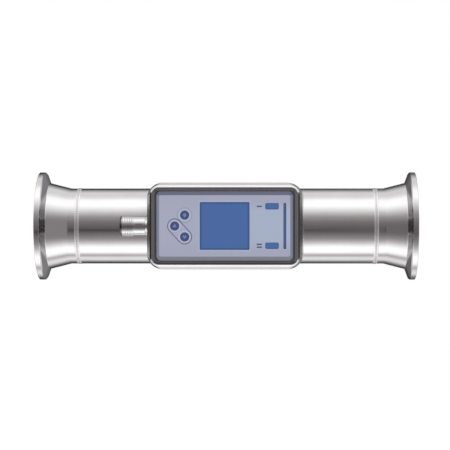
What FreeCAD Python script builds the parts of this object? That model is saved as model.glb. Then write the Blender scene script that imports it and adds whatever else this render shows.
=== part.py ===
import FreeCAD, Part
import math
import os

# Inline ultrasonic flow meter for hygienic process lines, in millimetres.
# X runs along the tube from inlet to outlet, Z is up, and the display faces -Y.
# The origin is on the tube's axis, midway between the two gasket faces.

# Measuring tube
face_to_face = 224.0
tube_od = 44.5
tube_wall = 3.0
tube_flat_depth = 1.25
tube_flat_margin = 0.5

# Clamp ferrule: a reducing cone, a neck and a flange with a groove for the joint's gasket
cone_rise = 3.15
cone_deg = 15.0
flange_height = 6.6
flange_rim = 4.1
flange_taper_deg = 20.0
rim_chamfer = 0.9
neck_wall = 1.65
mouth_depth = 5.0
groove_offset = 2.85
groove_width = 2.6
groove_depth = 1.2
ferrule_land = 4.64
throat_land = 1.1

# Orbital weld between the tube and each ferrule, right through the wall
weld_width = 2.8
weld_crown = 0.35

# Front panel, laid out from the display outwards
pane_width = 27.7
pane_height = 26.6
pane_corner = 1.0
pane_sunk = 0.2
pane_rebate = 1.0
pane_rebate_depth = 0.8
module_border_x = 1.85
module_border_z = 2.4
module_margin = 3.0
key_gap = 8.55
key_step_x = 5.6
key_step_z = 6.1
key_margin = 10.3
panel_corner = 2.4
panel_thickness = 2.4
panel_proud = 0.6
bevel_width = 1.65
bevel_depth = 1.0
status_width = 7.4
status_height = 3.5
status_corner = 0.8
status_gap = 7.2
status_inset = 2.25
status_sunk = 0.1
bar_width = 1.45
bar_inset = 4.6
bar_short = 0.35
window_clearance = 0.1

# Posts and snap hooks behind the front panel
post_inset_x = 1.9
post_inset_z = 2.3
post_radius = 1.5
post_height = 3.6
post_hole_radius = 0.9
hook_x = 20.0
hook_width = 5.0
hook_thickness = 1.2
hook_play = 0.15
hook_barb = 0.9
hook_gap = 0.05
hook_tip = 0.8

# Recess in the housing's front, with the ledge that the panel's gasket sits on
recess_clearance = 0.5
recess_corner = 2.9
lip_chamfer = 0.5
ledge_width = 2.0
ledge_thickness = 1.8
ledge_corner = 1.5
gasket_thickness = 0.8
gasket_play = 0.4

# Display housing: a cast head with a full round front edge and walls that flare slightly, and a half sleeve
lip_y = -62.0
lip_side = 5.4
lip_top = 5.65
lip_round = 4.6
head_corner = 6.9
flare_end_y = -24.0
head_wall = 2.8
cavity_floor_y = -10.0
sleeve_wall = 3.15
sleeve_length = 80.0
sleeve_chamfer = 1.8
tube_clearance = 0.05

# Push buttons
button_diameter = 4.8
button_clearance = 0.15
button_proud = 0.5
button_travel = 0.6
button_flange_radius = 3.4
button_flange = 0.7
button_pocket_depth = 1.0
button_pocket_clearance = 0.3
button_play = 0.05
button_stem_radius = 1.2
press_gap = 0.1

# Key mat and switches
mat_wall = 1.2
mat_margin = 0.4
mat_web = 1.0
mat_hole_clearance = 0.3
switch_size = 4.5
switch_height = 0.8
plunger_radius = 1.0
plunger_height = 0.3

# Circuit boards, with hexagonal standoffs between them
board_thickness = 1.2
board_margin = 0.5
board_corner = 1.2
board_hole_radius = 1.1
module_corner = 0.8
module_gap = 0.1
led_height = 0.7
led_gap = 0.3
standoff_length = 7.6
standoff_flats = 3.0
stud_reach = 2.6
stud_radius = 0.85
stud_end = 2.2
board_nut_flats = 2.8
board_nut_height = 1.4
ribbon_width = 12.0
ribbon_thickness = 0.3
ribbon_inset = 6.2
ribbon_socket_height = 1.0
ribbon_socket_depth = 3.0
ribbon_socket_margin = 1.5

# Components on the circuit boards: x, z, width, height and thickness of each block
led_side = 1.6
status_led_width = 3.2
bar_led_width = 0.9
display_driver = (2.0, 5.0, 9.0, 9.0, 1.2)
backlight_driver = (-14.0, 4.0, 5.0, 4.0, 1.0)
resistor = (14.0, 7.0, 2.0, 1.2, 0.8)
resistor_count = 4
resistor_pitch = 4.0
signal_processor = (10.0, 4.0, 10.0, 10.0, 1.4)
pulse_driver = (-8.0, 5.0, 7.0, 7.0, 1.0)
power_coil = (26.0, 2.0, 8.0, 8.0, 3.6)
regulator = (6.0, -6.0, 6.0, 5.0, 2.6)
capacitor_radius = 3.0
capacitor_height = 6.0
capacitor_x = 20.0
capacitor_z = -10.0
cable_socket_radius = 2.0
cable_socket_height = 2.4

# Transducers on the tube's flat
wedge_near_x = 8.0
wedge_length = 18.5
wedge_top_length = 5.5
wedge_height = 10.5
wedge_toe = 2.6
wedge_width = 12.0
piezo_diameter = 8.4
piezo_thickness = 1.0
cable_radius = 0.6
cable_play = 0.2
contact_gap = 0.02
sensor_length = 8.0
sensor_width = 5.0
sensor_height = 2.5

# Bridge that presses the wedges onto the tube
bridge_sheet = 1.5
bridge_width = 5.6
bridge_play = 0.5
bridge_slope = 3.0
bridge_foot = 5.0
bridge_toe = 3.5
bridge_stud_radius = 1.5
bridge_stud_height = 5.0
bridge_hole_clearance = 0.2
bridge_nut_flats = 5.0
bridge_nut_height = 2.4

# Plug connector on the housing's inlet side
connector_over_board = 2.6
thread_radius = 6.0
thread_length = 6.75
thread_chamfer = 1.05
thread_relief = 0.5
shell_length = 6.9
shell_shoulder = 1.0
spigot_length = 8.6
spigot_clearance = 0.1
spigot_wall = 1.05
plug_wall = 1.6
plug_cavity_depth = 9.2
seat_step = 0.4
boss_flare = 1.9
boss_reach = 1.14
boss_depth = 3.0
boss_length = 5.8
insert_clearance = 0.05
seal_width = 0.7
seal_pocket_depth = 1.0
seal_play = 0.02
pin_radius = 0.5
pin_margin = 1.0
pin_sunk = 1.9
pin_tail = 3.0
key_rib_width = 1.4
key_rib_height = 0.6
key_rib_length = 5.0
index_length = 4.6
index_width = 2.4
index_depth = 0.3
nut_wall = 1.0
nut_thickness = 2.4
notch_clearance = 1.6
terminal_setback = 1.0
terminal_cap = 0.4
terminal_width = 4.0
terminal_margin = 3.3
wire_radius = 0.45

# Places and sizes that follow from those above
tube_radius = tube_od / 2
bore_radius = tube_radius - tube_wall
neck_radius = tube_radius + cone_rise
flange_radius = neck_radius + flange_height
mouth_radius = neck_radius - neck_wall
face_x = face_to_face / 2
rim_x = face_x - flange_rim
root_x = rim_x - flange_height * math.tan(math.radians(flange_taper_deg))
cone_x = root_x - cone_rise / math.tan(math.radians(cone_deg))
ferrule_x = cone_x - ferrule_land
weld_start_x = ferrule_x - weld_width
flat_y = -(tube_radius - tube_flat_depth)

module_width = pane_width + 2 * module_border_x
module_height = pane_height + 2 * module_border_z
key_near_x = -(pane_width / 2 + key_gap)
key_far_x = key_near_x - key_step_x
panel_width = 2 * (key_margin - key_far_x)
panel_height = module_height + 2 * module_margin
bar_x = panel_width / 2 - bar_inset
bar_height = pane_height - 2 * bar_short
status_x = bar_x - status_gap
status_z = pane_height / 2 - status_inset
keys = {"upper": (key_near_x, key_step_z), "left": (key_far_x, 0.0), "lower": (key_near_x, -key_step_z)}
corners = [(1, 1), (-1, 1), (-1, -1), (1, -1)]

recess_width = panel_width + 2 * recess_clearance
recess_height = panel_height + 2 * recess_clearance
opening_width = recess_width - 2 * ledge_width
opening_height = recess_height - 2 * ledge_width
board_width = opening_width - 2 * board_margin
board_height = opening_height - 2 * board_margin
ribbon_z = ribbon_inset - board_height / 2
post_x = opening_width / 2 - post_inset_x
post_z = opening_height / 2 - post_inset_z
post_places = [(side_x * post_x, side_z * post_z) for side_x, side_z in corners]
head_width = recess_width + 2 * lip_side
head_height = recess_height + 2 * lip_top
sleeve_radius = tube_radius + sleeve_wall
flare = sleeve_radius - head_height / 2

face_y = lip_y - panel_proud
panel_back_y = face_y + panel_thickness
ledge_y = panel_back_y + gasket_thickness
ledge_back_y = ledge_y + ledge_thickness
board_front_y = panel_back_y + post_height
board_back_y = board_front_y + board_thickness
main_front_y = board_back_y + standoff_length
main_back_y = main_front_y + board_thickness

wedge_far_x = wedge_near_x + wedge_length
bridge_shoulder_x = wedge_far_x + bridge_play
bridge_foot_x = bridge_shoulder_x + bridge_slope
bridge_stud_x = bridge_foot_x + bridge_foot
bridge_end_x = bridge_stud_x + bridge_toe
cable_z = bridge_width / 2 + cable_radius + cable_play

connector_y = main_back_y + connector_over_board
wall_share = (connector_y - lip_y) / (flare_end_y - lip_y)
wall_x = -(head_width / 2 + flare * wall_share)
seat_x = wall_x - boss_reach
thread_end_x = seat_x - shell_length
connector_tip_x = thread_end_x - thread_chamfer - thread_length
plug_cavity_end_x = connector_tip_x + plug_cavity_depth
nut_seat_x = seat_x + boss_length
spigot_end_x = seat_x + spigot_length
shell_radius = thread_radius - thread_relief
plug_cavity_radius = thread_radius - plug_wall
spigot_radius = shell_radius - shell_shoulder
insert_radius = spigot_radius - spigot_wall - insert_clearance
seal_pocket_radius = spigot_radius + seal_width
seat_radius = shell_radius + seat_step
boss_radius = seat_radius + boss_flare
pin_circle = insert_radius - pin_margin
nut_flats = 2 * (spigot_radius + nut_wall)
terminal_height = 2 * connector_over_board + terminal_cap
terminal_span = 2 * (pin_circle * math.sin(math.radians(45)) + terminal_margin)

# further than any piece reaches, for cuts that run right through
across = face_to_face + abs(lip_y)

V = FreeCAD.Vector
parts = {}


def box(x0, x1, y0, y1, z0, z1):
    return Part.makeBox(x1 - x0, y1 - y0, z1 - z0, V(x0, y0, z0))


def rod_x(radius, x0, x1, y=0.0, z=0.0):
    return Part.makeCylinder(radius, x1 - x0, V(x0, y, z), V(1, 0, 0))


def rod_y(radius, y0, y1, x=0.0, z=0.0):
    return Part.makeCylinder(radius, y1 - y0, V(x, y0, z), V(0, 1, 0))


def turned(profile, axis_y=0.0):
    # profile holds (x, radius) points, turned about an axis along X
    points = [V(x, axis_y + radius, 0) for x, radius in profile]
    face = Part.Face(Part.makePolygon(points + [points[0]]))
    return face.revolve(V(0, axis_y, 0), V(1, 0, 0), 360)


def turned_y(profile, x, z):
    # profile holds (y, radius) points, turned about an axis along Y
    points = [V(x + radius, y, z) for y, radius in profile]
    face = Part.Face(Part.makePolygon(points + [points[0]]))
    return face.revolve(V(x, 0, z), V(0, 1, 0), 360)


def outline(width, height, corner, y, x=0.0, z=0.0):
    # rounded rectangle in the plane at depth y
    edges = []
    last = None
    first = None
    for turn, (side_x, side_z) in enumerate(corners):
        centre = V(x + side_x * (width / 2 - corner), y, z + side_z * (height / 2 - corner))
        spots = []
        for step in range(3):
            angle = math.radians(90 * turn + 45 * step)
            spots.append(centre + V(corner * math.cos(angle), 0, corner * math.sin(angle)))
        if last is not None and (spots[0] - last).Length > 1e-6:
            edges.append(Part.LineSegment(last, spots[0]).toShape())
        edges.append(Part.Arc(*spots).toShape())
        first = first or spots[0]
        last = spots[2]
    edges.append(Part.LineSegment(last, first).toShape())
    return Part.Wire(edges)


def slab(width, height, corner, y0, y1, x=0.0, z=0.0):
    return Part.Face(outline(width, height, corner, y0, x, z)).extrude(V(0, y1 - y0, 0))


def tapered(front, back):
    return Part.makeLoft([front, back], True, True)


def hexagon(flats, start, sideways, way):
    # hexagonal prism from start along way, with corners in the plane of Z and sideways
    reach = flats / math.sqrt(3)
    points = []
    for step in range(7):
        angle = math.radians(60 * step)
        points.append(start + sideways * (reach * math.cos(angle)) + V(0, 0, reach * math.sin(angle)))
    return Part.Face(Part.makePolygon(points)).extrude(way)


def hexagon_y(flats, y0, y1, x, z):
    return hexagon(flats, V(x, y0, z), V(1, 0, 0), V(0, y1 - y0, 0))


def ring_edges(shape, x, radius):
    # the circular edges about the tube's axis with this place and radius
    found = []
    for edge in shape.Edges:
        curve = edge.Curve
        if isinstance(curve, Part.Circle):
            if abs(curve.Center.x - x) < 1e-3 and abs(curve.Radius - radius) < 1e-3:
                found.append(edge)
    return found


def mirrored(shape):
    return shape.mirror(V(0, 0, 0), V(1, 0, 0))


def measuring_tube():
    tube = rod_x(tube_radius, -weld_start_x, weld_start_x)
    tube = tube.cut(rod_x(bore_radius, -weld_start_x, weld_start_x))
    half = bridge_end_x + tube_flat_margin
    return tube.cut(box(-half, half, -across, flat_y, -across, across))


def weld_bead():
    bead = rod_x(tube_radius + weld_crown, weld_start_x, ferrule_x)
    return bead.cut(rod_x(bore_radius, weld_start_x, ferrule_x))


def ferrule():
    taper = math.tan(math.radians(flange_taper_deg))
    groove_middle = neck_radius + groove_offset
    groove_x = face_x - groove_depth
    profile = [
        (ferrule_x, bore_radius),
        (ferrule_x, tube_radius),
        (cone_x, tube_radius),
        (root_x, neck_radius),
        (rim_x - rim_chamfer * taper, flange_radius - rim_chamfer),
        (rim_x + rim_chamfer, flange_radius),
        (face_x, flange_radius),
        (face_x, groove_middle + groove_width / 2),
        (groove_x, groove_middle + groove_width / 2),
        (groove_x, groove_middle - groove_width / 2),
        (face_x, groove_middle - groove_width / 2),
        (face_x, mouth_radius),
        (face_x - mouth_depth, mouth_radius),
        (ferrule_x + throat_land, bore_radius),
    ]
    return turned(profile)


def flared_block(inset):
    # walls that flare from the lip to flare_end_y and then run straight to the tube's axis plane
    corner = head_corner - inset
    width = head_width - 2 * inset
    height = head_height - 2 * inset
    wide = width + 2 * flare
    high = height + 2 * flare
    front = outline(width, height, corner, lip_y)
    block = tapered(front, outline(wide, high, corner + flare, flare_end_y))
    return block.fuse(slab(wide, high, corner + flare, flare_end_y, 0))


def head_block():
    block = flared_block(0.0)
    rim = []
    for edge in block.Edges:
        if all(abs(vertex.Point.y - lip_y) < 1e-3 for vertex in edge.Vertexes):
            rim.append(edge)
    return block.makeFillet(lip_round, rim)


def sleeve_half():
    half = sleeve_length / 2
    cylinder = rod_x(sleeve_radius, -half, half)
    ends = ring_edges(cylinder, -half, sleeve_radius) + ring_edges(cylinder, half, sleeve_radius)
    cylinder = cylinder.makeChamfer(sleeve_chamfer, ends)
    return cylinder.common(box(-across, across, 0, across, -across, across))


def connector_boss():
    profile = [
        (seat_x + boss_depth, 0),
        (seat_x + boss_depth, boss_radius),
        (seat_x, seat_radius),
        (seat_x, 0),
    ]
    return turned(profile, connector_y)


def housing():
    shell = head_block().fuse(sleeve_half()).fuse(connector_boss())
    cavity = flared_block(head_wall).common(
        box(-across, across, ledge_back_y, cavity_floor_y, -across, across)
    )
    shell = shell.cut(cavity)
    shell = shell.fuse(rod_x(boss_radius, seat_x + boss_depth, nut_seat_x, connector_y))
    shell = shell.cut(slab(recess_width, recess_height, recess_corner, lip_y, ledge_y))
    chamfer = tapered(
        outline(
            recess_width + 2 * lip_chamfer,
            recess_height + 2 * lip_chamfer,
            recess_corner + lip_chamfer,
            lip_y,
        ),
        outline(recess_width, recess_height, recess_corner, lip_y + lip_chamfer),
    )
    shell = shell.cut(chamfer)
    shell = shell.cut(slab(opening_width, opening_height, ledge_corner, ledge_y, ledge_back_y))
    shell = shell.cut(rod_x(tube_radius + tube_clearance, -across, across))
    hole = rod_x(spigot_radius + spigot_clearance, seat_x, nut_seat_x, connector_y)
    pocket = rod_x(seal_pocket_radius, seat_x, seat_x + seal_pocket_depth, connector_y)
    return shell.cut(hole).cut(pocket).removeSplitter()


def window_hole(width, height, corner, x, z):
    return slab(width, height, corner, face_y, panel_back_y, x, z)


def window_piece(width, height, corner, x, z, sunk, back_y):
    fit = 2 * window_clearance
    return slab(width - fit, height - fit, corner - window_clearance, face_y + sunk, back_y, x, z)


def pane_step(clearance):
    grown = 2 * (pane_rebate - clearance)
    step_y = panel_back_y - pane_rebate_depth
    return slab(pane_width + grown, pane_height + grown, pane_corner, step_y, panel_back_y)


def display_pane():
    pane = window_piece(pane_width, pane_height, pane_corner, 0, 0, pane_sunk, panel_back_y)
    return pane.fuse(pane_step(window_clearance)).removeSplitter()


def snap_hook(side_x, side_z):
    outer = side_z * (opening_height / 2 - hook_play)
    inner = outer - side_z * hook_thickness
    catch_y = ledge_back_y + hook_gap
    tip_y = catch_y + hook_tip
    reach = outer + side_z * hook_barb
    points = [
        V(0, panel_back_y, inner),
        V(0, panel_back_y, outer),
        V(0, catch_y, outer),
        V(0, catch_y, reach),
        V(0, tip_y, outer),
        V(0, tip_y, inner),
    ]
    arm = Part.Face(Part.makePolygon(points + [points[0]])).extrude(V(hook_width, 0, 0))
    arm.translate(V(side_x * hook_x - hook_width / 2, 0, 0))
    return arm


def front_panel():
    bevel_y = face_y + bevel_depth
    inset = 2 * bevel_width
    front = outline(panel_width - inset, panel_height - inset, panel_corner - bevel_width, face_y)
    panel = tapered(front, outline(panel_width, panel_height, panel_corner, bevel_y))
    panel = panel.fuse(slab(panel_width, panel_height, panel_corner, bevel_y, panel_back_y))
    panel = panel.cut(window_hole(pane_width, pane_height, pane_corner, 0, 0).fuse(pane_step(0)))
    panel = panel.cut(window_hole(bar_width, bar_height, bar_width / 2, bar_x, 0))
    for side in (1, -1):
        window = window_hole(status_width, status_height, status_corner, status_x, side * status_z)
        panel = panel.cut(window)
    hole_radius = button_diameter / 2 + button_clearance
    pocket_radius = button_flange_radius + button_pocket_clearance
    for x, z in keys.values():
        panel = panel.cut(rod_y(hole_radius, face_y, panel_back_y, x, z))
        pocket_y = panel_back_y - button_pocket_depth
        panel = panel.cut(rod_y(pocket_radius, pocket_y, panel_back_y, x, z))
    for x, z in post_places:
        post = rod_y(post_radius, panel_back_y, board_front_y, x, z)
        panel = panel.fuse(post.cut(rod_y(post_hole_radius, panel_back_y, board_front_y, x, z)))
    for side_x, side_z in corners:
        panel = panel.fuse(snap_hook(side_x, side_z))
    return panel.removeSplitter()


def panel_gasket():
    width = recess_width - 2 * gasket_play
    height = recess_height - 2 * gasket_play
    frame = slab(width, height, recess_corner - gasket_play, panel_back_y, ledge_y)
    return frame.cut(slab(opening_width, opening_height, ledge_corner, panel_back_y, ledge_y))


def button_flange_back_y():
    return panel_back_y - button_pocket_depth + button_play + button_flange


def button(x, z):
    radius = button_diameter / 2
    front = face_y - button_proud
    flange_back = button_flange_back_y()
    flange_y = flange_back - button_flange
    stem_end = board_front_y - switch_height - plunger_height - press_gap - button_travel
    profile = [
        (front, 0),
        (front, radius),
        (flange_y, radius),
        (flange_y, button_flange_radius),
        (flange_back, button_flange_radius),
        (flange_back, button_stem_radius),
        (stem_end, button_stem_radius),
        (stem_end, 0),
    ]
    return turned_y(profile, x, z)


def key_mat():
    low_x = key_far_x - button_flange_radius - mat_margin
    high_x = key_near_x + button_flange_radius + mat_margin
    reach_z = key_step_z + button_flange_radius + mat_margin
    web_y = button_flange_back_y() + button_travel + button_play
    rim = box(
        low_x - mat_wall, high_x + mat_wall, panel_back_y, board_front_y,
        -reach_z - mat_wall, reach_z + mat_wall,
    )
    mat = rim.cut(box(low_x, high_x, panel_back_y, web_y, -reach_z, reach_z))
    mat = mat.cut(box(low_x, high_x, web_y + mat_web, board_front_y, -reach_z, reach_z))
    for x, z in keys.values():
        mat = mat.cut(rod_y(button_stem_radius + mat_hole_clearance, panel_back_y, board_front_y, x, z))
    return mat


def key_switches():
    half = switch_size / 2
    top = board_front_y - switch_height
    pieces = []
    for x, z in keys.values():
        body = box(x - half, x + half, top, board_front_y, z - half, z + half)
        pieces.append(body.fuse(rod_y(plunger_radius, top - plunger_height, top, x, z)))
    return Part.makeCompound(pieces)


def display_module():
    front = panel_back_y + module_gap
    return slab(module_width, module_height, module_corner, front, board_front_y)


def board(front_y):
    sheet = slab(board_width, board_height, board_corner, front_y, front_y + board_thickness)
    for x, z in post_places:
        sheet = sheet.cut(rod_y(board_hole_radius, front_y, front_y + board_thickness, x, z))
    return sheet


def main_board():
    notch_x = main_notch_x()
    notch_z = nut_flats / math.sqrt(3) + notch_clearance
    notch = box(-across, notch_x, main_front_y, main_back_y, -notch_z, notch_z)
    return board(main_front_y).cut(notch)


def chip(y, x, z, width, height, thickness):
    return box(x - width / 2, x + width / 2, y, y + thickness, z - height / 2, z + height / 2)


def display_board_parts():
    pieces = []
    led_y = board_front_y - led_height
    for side in (1, -1):
        pieces.append(chip(led_y, status_x, side * status_z, status_led_width, led_side, led_height))
    for step in (-1, 0, 1):
        pieces.append(chip(led_y, bar_x, step * bar_height / 3, bar_led_width, led_side, led_height))
    pieces.append(chip(board_back_y, *display_driver))
    pieces.append(chip(board_back_y, *backlight_driver))
    pieces.append(ribbon_socket(board_back_y))
    for step in range(resistor_count):
        block = chip(board_back_y, *resistor)
        block.translate(V(step * resistor_pitch, 0, 0))
        pieces.append(block)
    return Part.makeCompound(pieces)


def ribbon_socket(y):
    width = ribbon_width + 2 * ribbon_socket_margin
    return chip(y, 0, ribbon_z, width, ribbon_socket_depth, ribbon_socket_height)


def main_board_parts():
    pieces = []
    for block in (signal_processor, pulse_driver, power_coil):
        pieces.append(chip(main_front_y - block[-1], *block))
    pieces.append(ribbon_socket(main_front_y - ribbon_socket_height))
    socket_end = main_back_y + cable_socket_height
    for side in (1, -1):
        pieces.append(rod_y(cable_socket_radius, main_back_y, socket_end, side * cable_x(), cable_z))
    middle_x = terminal_x() + terminal_width / 2
    pieces.append(chip(main_back_y, middle_x, 0, terminal_width, terminal_span, terminal_height))
    pieces.append(chip(main_back_y, *regulator))
    capacitor_end = main_back_y + capacitor_height
    pieces.append(rod_y(capacitor_radius, main_back_y, capacitor_end, capacitor_x, capacitor_z))
    return Part.makeCompound(pieces)


def main_notch_x():
    return spigot_end_x + pin_tail + 2 * notch_clearance


def terminal_x():
    return main_notch_x() + terminal_setback


def board_standoffs():
    pieces = []
    for x, z in post_places:
        body = hexagon_y(standoff_flats, board_back_y, main_front_y, x, z)
        body = body.fuse(rod_y(stud_radius, board_front_y - stud_reach, board_back_y, x, z))
        pieces.append(body.fuse(rod_y(stud_radius, main_front_y, main_back_y + stud_end, x, z)))
    return Part.makeCompound(pieces)


def board_nuts():
    pieces = []
    top = main_back_y + board_nut_height
    for x, z in post_places:
        nut = hexagon_y(board_nut_flats, main_back_y, top, x, z)
        pieces.append(nut.cut(rod_y(stud_radius + contact_gap, main_back_y, top, x, z)))
    return Part.makeCompound(pieces)


def board_ribbon():
    # half a loop from the socket on one board to the socket on the other
    near = board_back_y + ribbon_socket_height / 2
    far = main_front_y - ribbon_socket_height / 2
    radius = (far - near) / 2
    half = ribbon_width / 2
    exit_z = ribbon_z - ribbon_socket_depth / 2
    centre = (near + far) / 2
    loop = rod_x(radius + ribbon_thickness / 2, -half, half, centre, exit_z)
    loop = loop.cut(rod_x(radius - ribbon_thickness / 2, -half, half, centre, exit_z))
    return loop.common(box(-half, half, board_back_y, main_front_y, -across, exit_z))


def wedge_slope():
    low = V(wedge_far_x, flat_y - wedge_toe, 0)
    high = V(wedge_near_x + wedge_top_length, flat_y - wedge_height, 0)
    return low, high


def wedge_normal():
    low, high = wedge_slope()
    along = (high - low).normalize()
    return V(-along.y, along.x, 0)


def piezo_centre():
    low, high = wedge_slope()
    return (low + high) * 0.5


def outlet_wedge():
    low, high = wedge_slope()
    points = [V(wedge_near_x, flat_y, 0), V(wedge_far_x, flat_y, 0), low, high]
    points.append(V(wedge_near_x, flat_y - wedge_height, 0))
    prism = Part.Face(Part.makePolygon(points + [points[0]])).extrude(V(0, 0, wedge_width))
    prism.translate(V(0, 0, -wedge_width / 2))
    return prism


def outlet_piezo():
    return Part.makeCylinder(piezo_diameter / 2, piezo_thickness, piezo_centre(), wedge_normal())


def cable_start():
    # the cable runs along -Y past the bridge, from where its lower rim meets the disc
    normal = wedge_normal()
    rise = cable_radius * abs(normal.x / normal.y) + contact_gap
    return piezo_centre() + normal * piezo_thickness - V(0, rise, 0)


def cable_x():
    return cable_start().x


def outlet_cable():
    start = cable_start()
    return rod_y(cable_radius, main_back_y + cable_socket_height, start.y, start.x, cable_z)


def transducer_cables():
    cable = outlet_cable()
    return Part.makeCompound([cable, mirrored(cable)])


def temperature_sensor():
    half = sensor_length / 2
    return box(-half, half, flat_y - sensor_height, flat_y, -sensor_width / 2, sensor_width / 2)


def transducer_bridge():
    under = flat_y - wedge_height
    top = under - bridge_sheet
    foot = flat_y - bridge_sheet
    half = [
        (bridge_shoulder_x, top),
        (bridge_foot_x + bridge_sheet, foot),
        (bridge_end_x, foot),
        (bridge_end_x, flat_y),
        (bridge_foot_x, flat_y),
        (bridge_shoulder_x - bridge_sheet, under),
    ]
    points = [V(x, y, 0) for x, y in half]
    points += [V(-x, y, 0) for x, y in reversed(half)]
    sheet = Part.Face(Part.makePolygon(points + [points[0]])).extrude(V(0, 0, bridge_width))
    sheet.translate(V(0, 0, -bridge_width / 2))
    hole_radius = bridge_stud_radius + bridge_hole_clearance
    for side in (1, -1):
        sheet = sheet.cut(rod_y(hole_radius, foot, flat_y, side * bridge_stud_x))
    return sheet


def bridge_studs():
    pieces = []
    tip_y = flat_y - bridge_stud_height
    for side in (1, -1):
        pieces.append(rod_y(bridge_stud_radius, tip_y, flat_y, side * bridge_stud_x))
    return Part.makeCompound(pieces)


def bridge_nuts():
    pieces = []
    seat = flat_y - bridge_sheet
    for side in (1, -1):
        x = side * bridge_stud_x
        nut = hexagon_y(bridge_nut_flats, seat - bridge_nut_height, seat, x, 0)
        pieces.append(nut.cut(rod_y(bridge_stud_radius + contact_gap, seat - bridge_nut_height, seat, x)))
    return Part.makeCompound(pieces)


def connector_shell():
    profile = [
        (connector_tip_x, plug_cavity_radius),
        (connector_tip_x, thread_radius - thread_chamfer),
        (connector_tip_x + thread_chamfer, thread_radius),
        (thread_end_x, thread_radius),
        (thread_end_x, shell_radius),
        (seat_x, shell_radius),
        (seat_x, spigot_radius),
        (spigot_end_x, spigot_radius),
        (spigot_end_x, insert_radius + insert_clearance),
        (plug_cavity_end_x, insert_radius + insert_clearance),
        (plug_cavity_end_x, plug_cavity_radius),
    ]
    shell = turned(profile, connector_y)
    index_x = thread_end_x + shell_length / 2
    surface_y = connector_y - shell_radius
    index = slab(
        index_length, index_width, index_width / 2 - contact_gap,
        surface_y - index_depth, surface_y + index_depth, index_x,
    )
    rib = box(
        plug_cavity_end_x - key_rib_length, plug_cavity_end_x,
        connector_y - key_rib_width / 2, connector_y + key_rib_width / 2,
        plug_cavity_radius - key_rib_height, plug_cavity_radius + key_rib_height / 2,
    )
    return shell.cut(index).fuse(rib).removeSplitter()


def pin_places():
    places = []
    for step in range(4):
        angle = math.radians(45 + 90 * step)
        places.append((connector_y + pin_circle * math.cos(angle), pin_circle * math.sin(angle)))
    return places


def connector_insert():
    body = rod_x(insert_radius, plug_cavity_end_x, spigot_end_x, connector_y)
    for y, z in pin_places():
        body = body.cut(rod_x(pin_radius, plug_cavity_end_x, spigot_end_x, y, z))
    return body


def connector_pins():
    start = connector_tip_x + pin_sunk
    end = spigot_end_x + pin_tail
    pins = [rod_x(pin_radius, start, end, y, z) for y, z in pin_places()]
    return Part.makeCompound(pins)


def connector_seal():
    end_x = seat_x + seal_pocket_depth
    ring = rod_x(seal_pocket_radius - seal_play, seat_x, end_x, connector_y)
    return ring.cut(rod_x(spigot_radius + seal_play, seat_x, end_x, connector_y))


def connector_nut():
    start = V(nut_seat_x, connector_y, 0)
    nut = hexagon(nut_flats, start, V(0, 1, 0), V(nut_thickness, 0, 0))
    bore = rod_x(spigot_radius + contact_gap, nut_seat_x, nut_seat_x + nut_thickness, connector_y)
    return nut.cut(bore)


def connector_wires():
    start_x = spigot_end_x + pin_tail
    wires = [rod_x(wire_radius, start_x, terminal_x(), y, z) for y, z in pin_places()]
    return Part.makeCompound(wires)


parts["measuring_tube"] = measuring_tube()
parts["outlet_weld"] = weld_bead()
parts["inlet_weld"] = mirrored(parts["outlet_weld"])
parts["outlet_ferrule"] = ferrule()
parts["inlet_ferrule"] = mirrored(parts["outlet_ferrule"])
parts["housing"] = housing()
parts["front_panel"] = front_panel()
parts["panel_gasket"] = panel_gasket()
parts["display_pane"] = display_pane()
guide_back_y = board_front_y - led_height - led_gap
for name, side in (("one", 1), ("two", -1)):
    parts["status_window_" + name] = window_piece(
        status_width, status_height, status_corner, status_x, side * status_z, status_sunk, guide_back_y
    )
parts["status_bar"] = window_piece(
    bar_width, bar_height, bar_width / 2, bar_x, 0, status_sunk, guide_back_y
)
for name, (key_x, key_height) in keys.items():
    parts["button_" + name] = button(key_x, key_height)
parts["key_mat"] = key_mat()
parts["key_switches"] = key_switches()
parts["display_module"] = display_module()
parts["display_board"] = board(board_front_y)
parts["display_board_parts"] = display_board_parts()
parts["board_standoffs"] = board_standoffs()
parts["board_nuts"] = board_nuts()
parts["board_ribbon"] = board_ribbon()
parts["main_board"] = main_board()
parts["main_board_parts"] = main_board_parts()
parts["outlet_wedge"] = outlet_wedge()
parts["inlet_wedge"] = mirrored(parts["outlet_wedge"])
parts["outlet_piezo"] = outlet_piezo()
parts["inlet_piezo"] = mirrored(parts["outlet_piezo"])
parts["transducer_cables"] = transducer_cables()
parts["temperature_sensor"] = temperature_sensor()
parts["transducer_bridge"] = transducer_bridge()
parts["bridge_studs"] = bridge_studs()
parts["bridge_nuts"] = bridge_nuts()
parts["connector_shell"] = connector_shell()
parts["connector_insert"] = connector_insert()
parts["connector_pins"] = connector_pins()
parts["connector_seal"] = connector_seal()
parts["connector_nut"] = connector_nut()
parts["connector_wires"] = connector_wires()

os.makedirs("parts", exist_ok=True)
for name, shape in parts.items():
    shape.exportStep("parts/" + name + ".step")
    valid = shape.isValid()
    print(name, len(shape.Solids), "valid" if valid else "NOT VALID", round(shape.Volume, 1))
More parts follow.
